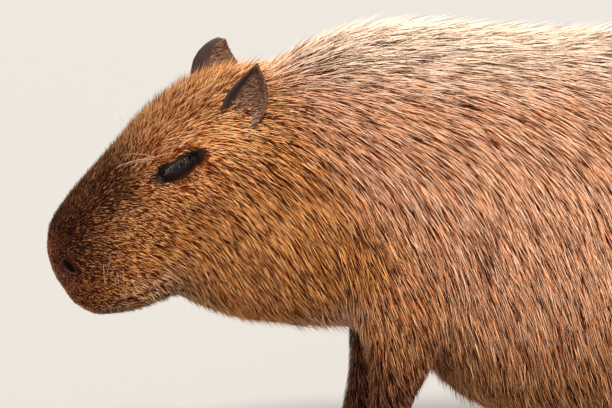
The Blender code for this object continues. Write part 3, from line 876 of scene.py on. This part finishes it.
# Claws: blunt, hoof-like horn, four to a forefoot and three to a hind foot, each growing out of
# the tip of its toe. The horn is worn smooth at its end and ridged along its length.
HORN_DARK = (0.022, 0.016, 0.012, 1.0)
HORN_PALE = (0.095, 0.07, 0.05, 1.0)
CLAW_EDGE = 0.0012
horn = plain_material("horn", HORN_PALE, 0.38)
tree = horn.node_tree
ridges = noise(tree, 160.0, Detail=3.0)
paint(horn, {
    "Base Color": ramp(tree, ridges, (0.35, HORN_DARK), (0.7, HORN_PALE)),
    "Normal": bumped(tree, ridges, 0.25, 0.0006),
})

for name in sorted(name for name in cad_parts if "claw" in name):
    shape = merged_copy(name)
    rims = [edge for edge in shape.edges if edge.calc_face_angle(0.0) > math.radians(50.0)]
    bmesh.ops.bevel(
        shape, geom=rims, offset=CLAW_EDGE, offset_type="OFFSET", segments=2, profile=0.5,
        affect="EDGES", material=-1, clamp_overlap=True,
    )
    bmesh.ops.recalc_face_normals(shape, faces=shape.faces)
    claw = mesh_from(shape, "horn_" + name)
    claw.data.shade_smooth()
    claw.data.materials.append(horn)
    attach(claw, "root")
    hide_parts(name)

# Coat: sparse, coarse hair in thin overlapping tufts that grow out of the skin and follow its lie,
# long on the body with a painted glow of light at pale tips, dense and short on the face and the legs.
CHANCE_SEED = 11
# Steps that never fall into rows, for spreading roots over the skin
EVEN_STEP_1 = 0.7548776662
EVEN_STEP_2 = 0.569840291
ROOT_SINK = 0.0015
# How far up a tuft its widest place is, and how bare the skin may be under it
TUFT_BEND = 0.42
BAREST = 0.55
MOST_TUFTS = 31500
EAR_HAIR = 0.0065
EAR_SPACING = 0.0015

skin.data.calc_loop_triangles()
triangles = skin.data.loop_triangles
corner_ids = np.empty(len(triangles) * 3, np.int64)
triangles.foreach_get("vertices", corner_ids)
corner_ids = corner_ids.reshape(-1, 3)
skin_points = places_of(skin.data)
skin_normals = normals_of(skin.data)
skin_length = np.where(is_ear, EAR_HAIR, hair_length(skin_points, skin_normals, fore, hind))


def tuft_spacing(length, face):
    body = np.interp(length, (0.005, 0.012, 0.02, 0.036), (0.00212, 0.00232, 0.00242, 0.00237))
    close = np.interp(length, (0.004, 0.008, 0.014, 0.024), (0.00146, 0.00162, 0.00182, 0.00222))
    return body * (1 - face) + close * face


skin_face = face_share(head_places(skin_points))
skin_spacing = np.where(is_ear, EAR_SPACING, tuft_spacing(skin_length, skin_face))
first, second, third = (skin_points[corner_ids[:, k]] for k in range(3))
area = np.linalg.norm(np.cross(second - first, third - first), axis=1) / 2
crowd = area / skin_spacing[corner_ids].mean(axis=1) ** 2
running = np.cumsum(crowd)
count = int(running[-1])
chance = np.random.default_rng(CHANCE_SEED)
picks = np.searchsorted(running, np.arange(count) + chance.uniform(0, 1, count))
picks = np.minimum(picks, len(area) - 1)
share_a = (np.arange(count) * EVEN_STEP_1) % 1.0
share_b = (np.arange(count) * EVEN_STEP_2) % 1.0
folded = share_a + share_b > 1
share_a, share_b = (np.where(folded, 1 - share, share) for share in (share_a, share_b))
weights = np.stack((1 - share_a - share_b, share_a, share_b), axis=1)


def spread(values):
    """Values of the skin's corners, read at every root."""
    at_corners = values[corner_ids[picks]]
    if values.ndim == 1:
        return (at_corners * weights).sum(axis=1)
    return (at_corners * weights[:, :, None]).sum(axis=1)


def unit(rows):
    return rows / np.maximum(np.linalg.norm(rows, axis=1), 1e-9)[:, None]


roots = spread(skin_points)
root_normals = unit(spread(skin_normals))
root_fore = spread(fore)
root_hind = spread(hind)
root_naked = spread(naked)
root_ear = spread(is_ear.astype(float))
ring = lid_ring(roots)
keep = (root_naked < BAREST) & (ring > 1.0) & (nostril_ring(roots) > 1.0) & (roots[:, 2] > 0.006)
keep |= (root_ear > 0.5) & (spread(ear_front) < 0.6)
roots, root_normals, root_fore, root_hind, root_ear = (
    values[keep] for values in (roots, root_normals, root_fore, root_hind, root_ear)
)
on_ear = root_ear > 0.5
count = len(roots)
root_face = face_share(head_places(roots))


def hair_lie(points, normals, face, fore, hind):
    """The way the hair lies at each root, before it is laid along the skin."""
    x, y, z = points.T
    reach, offset, height = head_places(points).T
    fall = np.interp(
        z, (0.1, 0.355, 0.403, 0.45, 0.485, 0.52, 0.56), (70.0, 68.0, 62.0, 47.0, 34.0, 18.0, 5.0)
    )
    fall -= 13.0 * np.exp(-((x + 0.17) / 0.09) ** 2) * ease(0.27, 0.34, z)
    fall += 8.0 * ease(-0.24, -0.32, x) * ease(0.455, 0.355, z)
    fall = np.radians(fall + 18.0 * ease(0.36, 0.5, x))
    under = ease(-0.55, -0.9, normals[:, 2])
    fall = fall * (1 - under) + np.radians(15.0) * under
    spill = 0.22 * np.clip(y / 0.08, -1, 1) * np.sign(normals[:, 2] + 0.2)
    body = np.stack((np.cos(fall), spill, -np.sin(fall)), axis=1)
    swing = np.interp(height, (-0.12, -0.05, 0.0, 0.04, 0.072), (90.0, 82.0, 66.0, 42.0, 6.0))
    swing = np.radians(swing)
    swing *= np.interp(reach, (0.05, 0.16, 0.24, 0.27), (1.0, 0.9, 0.72, 0.5))
    back = -np.array(forward)
    down = -np.array(headward)
    head = np.cos(swing)[:, None] * back + np.sin(swing)[:, None] * down
    parted = 0.3 * np.sign(offset) * ease(0.01, 0.05, np.abs(offset)) * ease(0.03, 0.07, height)
    head += np.array(leftward) * parted[:, None]
    lie = toned(body, head, face)
    toe = ease(0.045, 0.018, z)
    fore_lie = np.stack((0.38 - 1.4 * toe, 0.0 * z, -1.0 + 0.75 * toe), axis=1)
    thigh = ease(0.16, 0.28, z)
    hind_ahead = 0.35 + 0.3 * thigh - 1.3 * ease(0.1, 0.05, z)
    hind_lie = np.stack((hind_ahead, 0.0 * z, -1.0 + 0.6 * toe), axis=1)
    return toned(toned(lie, fore_lie, fore), hind_lie, hind)


def turned(direction, normal, angle):
    """Directions turned about their normals."""
    aside = np.cross(normal, direction)
    return direction * np.cos(angle)[:, None] + aside * np.sin(angle)[:, None]


lie = hair_lie(roots, root_normals, root_face, root_fore, root_hind)
ear_rise = np.where(on_ear, ear_reach(roots)[1], FAR_OFF)
for word in SIDES:
    _, stem, leaf, _ = ear_frame(word)
    mine = on_ear & ((roots[:, 1] < 0) == (word == "left"))
    lie[mine] = np.array(stem) * 0.55 - np.array(leaf)
lie = unit(lie - root_normals * (lie * root_normals).sum(axis=1)[:, None])
wander = np.radians(6.0) * drift(roots, 22.0, 21) + np.radians(2.5) * drift(roots, 90.0, 22)
wander += np.radians(6.5) * chance.normal(size=count)
lie = turned(lie, root_normals, wander)
length = hair_length(roots, root_normals, root_fore, root_hind)
length = np.where(on_ear, np.interp(ear_rise, (0.0, 0.018, 0.05), (0.013, 0.0075, 0.0055)), length)
depth = np.where(on_ear, 0.0011, coat_depth(length))
reach, offset, height = head_places(roots).T
top = ease(0.35, 0.85, root_normals[:, 2]) * (1 - root_face)
guard = chance.uniform(size=count) < 0.03 + 0.06 * top
length = length * chance.uniform(0.75, 1.18, count) * np.where(guard, 1.15, 1.0)
depth = depth * chance.uniform(0.45, 1.08, count) * np.where(guard, 1.25 + 0.4 * top, 1.0)
crown = ease(0.03, 0.065, height) * ease(0.26, 0.12, reach) * root_face
depth *= 1.0 + 0.5 * crown

skin_search = BVHTree.FromPolygons(
    [Vector(point) for point in skin_points], corner_ids.tolist(), all_triangles=True
)


def over_skin(points, lift):
    """Each point brought back to the skin and lifted over it."""
    found = [skin_search.find_nearest(Vector(point)) for point in points]
    near = np.array([hit[0] for hit in found])
    way = np.array([hit[1] for hit in found])
    return near + way * lift[:, None]


middles = over_skin(roots + lie * (length * TUFT_BEND)[:, None], depth * 0.62)
tips = over_skin(roots + lie * length[:, None], depth)
# Strays stand off the coat: most on the crown and bridge, and under the jaw, throat and belly.
under = ease(-0.05, -0.6, root_normals[:, 2])
chin = ease(-0.05, -0.08, height) * root_face
profile = ease(0.45, 0.85, root_normals @ np.array(headward)) * root_face * ease(0.275, 0.245, reach)
bristling = np.maximum(crown, 0.9 * profile)
stray_share = np.where(on_ear, 0.06, 0.05 + 0.12 * under + 0.52 * bristling + 0.15 * chin)
stray = chance.uniform(size=count) < stray_share
lift_off = chance.uniform(0.3, 0.85, count) * (0.55 + 0.5 * crown + 0.25 * under + 0.7 * profile)
standing = unit(lie + root_normals * lift_off[:, None])
standing[:, 2] -= 0.25 * under
standing = unit(standing)
tips = np.where(stray[:, None], roots + standing * (length * 0.92)[:, None], tips)
middles = np.where(stray[:, None], roots + standing * (length * TUFT_BEND)[:, None], middles)
feet = roots - root_normals * ROOT_SINK

# Neighbouring tufts lean together into loose locks, most on the long hair of the body.
LOCK_SHARE = (0.0024 / 0.012) ** 2 * 1.6
LOCK_REACH = 0.022
leaders = np.nonzero(chance.uniform(size=count) < LOCK_SHARE)[0]
lock_search = KDTree(len(leaders))
for index, root_id in enumerate(leaders):
    lock_search.insert(Vector(roots[root_id]), index)
lock_search.balance()
lock_of = leaders[[lock_search.find(Vector(point))[1] for point in roots]]
pull = chance.uniform(0.05, 0.34, count) * np.interp(length, (0.008, 0.03), (0.15, 1.0))
pull = np.where(guard | stray, 0.0, pull)
toward = tips[lock_of] - tips
close = np.linalg.norm(toward, axis=1) < LOCK_REACH
tips = tips + toward * (pull * close)[:, None]
middles = middles + toward * (0.35 * pull * close)[:, None]

width = np.interp(length, (0.004, 0.01, 0.02, 0.036), (0.0005, 0.00058, 0.00067, 0.00076))
width *= chance.uniform(0.65, 1.4, count)
thick = width * 0.45
along = unit(tips - feet)
aside = unit(np.cross(root_normals, along))
above = unit(np.cross(along, aside))
half = aside * (width / 2)[:, None]
sunken = above * (thick * 0.4)[:, None]
ridge = middles + above * (thick * 0.6)[:, None]
tuft_points = np.stack((feet, middles + half - sunken, ridge, middles - half - sunken, tips), axis=1)
# One tuft: its faces by corner, its patch of the map, and how far up the hair each corner is
TUFT_FACES = np.array(((3, 1, 0), (1, 3, 4), (2, 1, 0), (3, 2, 0), (1, 2, 4), (2, 3, 4)))
PATCH_SIZE = 0.003
TUFT_PATCH = np.array(((-0.5, 0.0), (0.0, 0.5), (0.05, 0.0), (0.0, -0.5), (0.5, 0.0))) * PATCH_SIZE
TUFT_CORNERS = 5
TUFT_GROW = np.array((0.0, TUFT_BEND, TUFT_BEND, TUFT_BEND, 1.0))

# Hair colours: about a third of the tufts are dark and a third bleached, each from the colour of its
# markings and painted light.
DARK_CAST = np.array((0.122, 0.05, 0.018))
BLEACHING = np.array((0.52, 0.6, 0.61)) + root_face[:, None] * np.array((0.01, 0.02, 0.06))
EAR_FUR = (0.42, 0.25, 0.165)
LIP_HAIR = (0.62, 0.36, 0.2)
# Painted light: tip colours for the glow of backlit hair tips
PALE_TIP_GLOW = (0.95, 0.7, 0.48)
GOLD_TIP_GLOW = (0.88, 0.5, 0.24)
BRIGHTEST = 0.88
coat_colour = coat_colours_and_light(roots, root_normals, root_fore, root_hind)
ear_hair = np.interp(ear_rise, (0.0, 0.02, 0.06), (1.0, 0.75, 0.5))[:, None] * np.array(EAR_FUR)
coat_colour = np.where(on_ear[:, None], ear_hair, coat_colour)
tone = 1.08 * np.exp(chance.normal(size=count) * 0.3)
tone = np.where(guard, tone * 1.2, tone)[:, None]
kind = chance.uniform(size=count)
dark = (kind < 0.33 + 0.07 * root_face)[:, None]
bleached = ((kind > 0.7) & ~on_ear)[:, None]
tip_glow_colour = toned(PALE_TIP_GLOW, GOLD_TIP_GLOW, root_face)
gold = chance.uniform(-1.0, 1.0, count)[:, None] * np.array((0.03, -0.07, -0.2))
coat_colour = coat_colour * (1.0 + gold)
hair_colour = np.where(bleached, coat_colour ** BLEACHING, coat_colour)
hair_colour = np.where(dark, coat_colour * DARK_CAST, hair_colour)
lip = ease(-0.028, -0.052, height) * ease(0.12, 0.19, reach) * root_face
lip_pale = (lip > chance.uniform(0.2, 0.9, count)) & (kind > 0.64)
hair_colour = np.where(lip_pale[:, None], LIP_HAIR, hair_colour) * tone
glare = np.maximum(hair_colour[:, :1] / BRIGHTEST, 1.0)
faded = np.clip(glare - 1.0, 0.0, 0.5)
hair_colour = np.clip(hair_colour / glare * (1 - faded) + tip_glow_colour * faded, 0.003, 0.92)
# Painted light: the pale tips stand for the glow of backlit hair tips, strongest on guard hairs
pale = np.where(guard, 0.75, chance.uniform(0, 0.75, count) ** 1.5)
snout_dark = np.clip(coat_colour[:, 0] / 0.45, 0.12, 1.0)
pale *= snout_dark * np.where(on_ear, 0.5, 1.0) * np.where(dark[:, 0], 0.3, 1.0)


# What a hair's colour is multiplied by at its root: painted shade down among the hairs
ROOT_SHADE = (0.14, 0.055, 0.022, 1.0)


def coat_material():
    """Hair paint: painted shade at the root, the colour of the markings and painted light over the
    shaft, and a painted glow of light at some tips.
    """
    made = plain_material("coat hair", (0.4, 0.2, 0.1, 1.0), 0.6)
    tree = made.node_tree
    colour = attribute(tree, "paint_and_light", "Color")
    grow = attribute(tree, "grow", "Fac")
    shaft, end = (
        node(
            tree, "ShaderNodeMapRange", {"Value": grow, "From Min": low, "From Max": high},
            interpolation_type="SMOOTHSTEP",
        ).outputs["Result"]
        for low, high in ((0.05, 0.5), (0.55, 1.0))
    )
    inputs = {0: end, 1: attribute(tree, "pale", "Fac")}
    share = node(tree, "ShaderNodeMath", inputs, operation="MULTIPLY").outputs[0]
    root_shaded = mixed(tree, shaft, mixed(tree, 1.0, colour, ROOT_SHADE, "MULTIPLY"), colour)
    tipped = mixed(tree, share, root_shaded, attribute(tree, "tip", "Color"))
    paint(made, {"Base Color": tipped, "Specular IOR Level": 0.02})
    return made


hair = coat_material()


# The skin's own shape laid flat: along the part one way, and round it the other
def unwrap_body(points):
    x, y, z = points.T
    return x, np.arctan2(np.abs(y), z - 0.32)


def unwrap_head(points):
    reach, offset, height = head_places(points).T
    return reach, np.arctan2(np.abs(offset), height + 0.02)


def unwrap_leg(points):
    x, y, z = points.T
    middle_x = np.interp(z, (0.0, 0.1, 0.3), (-0.02, 0.0, 0.0)) + np.median(x)
    return z, np.arctan2(x - middle_x, (y - np.median(y)) * 1.5)


# How far the tufts' places on the map keep from its edge
MAP_EDGE = 0.004


def evened(values):
    """Places spread evenly between 0 and 1 in the order of the values, a patch clear of the edge."""
    order = np.empty(len(values))
    order[np.argsort(values, kind="stable")] = np.arange(len(values))
    ranked = (order + 0.5) / len(values)
    span = values.max() - values.min()
    level = (values - values.min()) / max(span, 1e-9)
    return MAP_EDGE + (1.0 - 2 * MAP_EDGE) * (0.5 * ranked + 0.5 * level)


def coat_piece(name, chosen, unwrap):
    """One named piece of the coat from the chosen tufts."""
    total = len(chosen)
    place_u, place_v = (evened(values) for values in unwrap(roots[chosen]))
    coat_mesh = bpy.data.meshes.new(name)
    corners = tuft_points[chosen].reshape(-1, 3)
    faces = (np.arange(total)[:, None, None] * TUFT_CORNERS + TUFT_FACES[None]).ravel()
    coat_mesh.vertices.add(total * TUFT_CORNERS)
    coat_mesh.vertices.foreach_set("co", corners.ravel())
    coat_mesh.loops.add(len(faces))
    coat_mesh.loops.foreach_set("vertex_index", faces)
    coat_mesh.polygons.add(len(faces) // 3)
    coat_mesh.polygons.foreach_set("loop_start", np.arange(0, len(faces), 3))
    coat_mesh.update(calc_edges=True)
    centre = np.stack((place_u, place_v), axis=1)
    patch = (centre[:, None, :] + TUFT_PATCH[None])[:, TUFT_FACES.ravel()]
    coat_mesh.uv_layers.new(name="OFBake").data.foreach_set("uv", patch.ravel())
    store(coat_mesh, "paint_and_light", np.repeat(hair_colour[chosen], TUFT_CORNERS, axis=0))
    store(coat_mesh, "grow", np.tile(TUFT_GROW, total))
    store(coat_mesh, "pale", np.repeat(pale[chosen], TUFT_CORNERS))
    store(coat_mesh, "tip", np.repeat(tip_glow_colour[chosen], TUFT_CORNERS, axis=0))
    coat_mesh.validate()
    coat_mesh.shade_smooth()
    coat = named_object(name, coat_mesh)
    coat.data.materials.append(hair)
    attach(coat, "root")


def shared_out(name, member, order, unwrap):
    """Split one region's tufts, in order along it, into pieces small enough."""
    ids = np.nonzero(member)[0]
    ids = ids[np.argsort(order[ids], kind="stable")]
    parts = max(1, math.ceil(len(ids) / MOST_TUFTS))
    for number, chosen in enumerate(np.array_split(ids, parts), 1):
        coat_piece(name if parts == 1 else f"{name}_{number}", chosen, unwrap)


on_left = roots[:, 1] < 0
on_head = (root_face > 0.5) | on_ear
on_fore = (root_fore > 0.5) & ~on_head
on_hind = (root_hind > 0.5) & ~on_head & ~on_fore
on_body = ~(on_head | on_fore | on_hind)
for word, on_side in (("left", on_left), ("right", ~on_left)):
    shared_out("coat_body_" + word, on_body & on_side, roots[:, 0], unwrap_body)
    shared_out("coat_head_" + word, on_head & on_side, -reach, unwrap_head)
    shared_out("coat_foreleg_" + word, on_fore & on_side, roots[:, 2], unwrap_leg)
    shared_out("coat_hindleg_" + word, on_hind & on_side, roots[:, 2], unwrap_leg)

# Whiskers: stiff pale hairs that taper to a point, rooted over each eye, on the cheek, along the
# lips and on the chin, and short lashes along the upper lid that hang over the eye.
WHISKER_COLOUR = (0.82, 0.66, 0.52, 1.0)
WHISKER_BROWN = (0.45, 0.28, 0.18, 1.0)
WHISKER_STEPS = 9
LASHES = 15
# Groups: which sides (-1 left, 1 right), how many, reach and height of the first and last root,
# length, and way out of the head as shares forward, out to the side and up, how far the tip droops,
# and half its thickness. Left and right brow, over the eye, cheek, upper, middle and lower lip, chin;
# the right brow's stand up over the head in the photo, the left's lie forward.
BOTH = (-1, 1)
WHISKER_GROUPS = (
    ((-1,), 4, (0.13, 0.079), (0.117, 0.085), 0.058, (0.62, 0.5, 0.8), 0.012, 0.00031),
    ((1,), 4, (0.13, 0.079), (0.112, 0.085), 0.07, (-0.2, 0.5, 1.00), 0.012, 0.00027),
    (BOTH, 2, (0.062, 0.066), (0.076, 0.068), 0.042, (0.7, 0.45, 0.55), 0.01, 0.00024),
    (BOTH, 3, (0.07, -0.012), (0.095, -0.006), 0.024, (0.1, 0.6, -0.75), 0.004, 0.00016),
    (BOTH, 2, (0.21, -0.004), (0.236, 0.004), 0.026, (0.3, 0.75, -0.2), 0.01, 0.00016),
    (BOTH, 3, (0.2, -0.026), (0.23, -0.018), 0.026, (0.2, 0.7, -0.45), 0.01, 0.00015),
    (BOTH, 2, (0.19, -0.045), (0.22, -0.038), 0.022, (0.15, 0.55, -0.75), 0.008, 0.00015),
    (BOTH, 5, (0.18, -0.078), (0.222, -0.07), 0.022, (0.1, 0.45, -0.9), 0.004, 0.00018),
)
curve = bpy.data.curves.new("whiskers", "CURVE")
curve.dimensions = "3D"
curve.bevel_depth = 1.0
curve.bevel_resolution = 1
curve.use_fill_caps = True


def add_whisker(start, way, droop, long, thick):
    """One tapered hair that leaves the skin along its way and bends over towards its tip."""
    spline = curve.splines.new("POLY")
    spline.points.add(WHISKER_STEPS - 1)
    for step, point in enumerate(spline.points):
        share = step / (WHISKER_STEPS - 1)
        place = start + way * (long * share) + droop * share ** 2
        point.co = (*place, 1.0)
        point.radius = thick * (1.0 - 0.85 * share)


chance = np.random.default_rng(CHANCE_SEED + 1)
for side in (-1, 1):
    for group in WHISKER_GROUPS:
        sides, number, (reach_1, height_1), (reach_2, height_2), long, way, droop, thick = group
        if side not in sides:
            continue
        for share in (np.arange(number) + 0.5) / number:
            jitter = chance.normal(size=6)
            start = head_point(
                reach_1 + (reach_2 - reach_1) * share + 0.0015 * jitter[0], -side * 0.09,
                height_1 + (height_2 - height_1) * share + 0.0015 * jitter[1],
            )
            place, out, _, _ = skin_search.find_nearest(start)
            turn = Vector(way) + Vector(jitter[2:5]) * 0.17
            direction = (forward * turn.x - leftward * side * turn.y + headward * turn.z).normalized()
            bend = Vector((0.0, 0.0, -droop))
            size = long * (1.0 + 0.22 * jitter[5])
            add_whisker(place - out * 0.001, direction, bend, size, thick)
for word in SIDES:
    middle, along, across, out = eye_frame(word)
    for share in np.linspace(-0.7, 0.72, LASHES):
        jitter = chance.normal(size=3)
        x = SLIT_HALF * share
        y = UPPER_LID * lid_opening(x)
        z = math.sqrt(max((BALL_RADIUS + LID_WALL) ** 2 - x * x - y * y, 1e-6)) - 0.0002
        start = middle + along * x + across * y + out * z
        fan = 0.55 + 0.5 * share + 0.1 * jitter[0]
        way = (out * 0.8 + along * fan - across * 0.65).normalized()
        add_whisker(start, way, -out * 0.0015, 0.0078 + 0.0012 * jitter[1], 0.00008)
bristles = bpy.data.objects.new("whisker_curve", curve)
bpy.context.scene.collection.objects.link(bristles)
bpy.context.view_layer.update()
drawn = bristles.evaluated_get(bpy.context.evaluated_depsgraph_get())
whiskers = named_object("whiskers", bpy.data.meshes.new_from_object(drawn))
bpy.data.objects.remove(bristles)
bristle = plain_material("pale bristle", WHISKER_COLOUR, 0.35)
tree = bristle.node_tree
banded = ramp(tree, noise(tree, 120.0), (0.35, WHISKER_BROWN), (0.65, WHISKER_COLOUR))
paint(bristle, {"Base Color": banded})
whiskers.data.materials.clear()
whiskers.data.materials.append(bristle)
whiskers.data.shade_smooth()
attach(whiskers, "root")
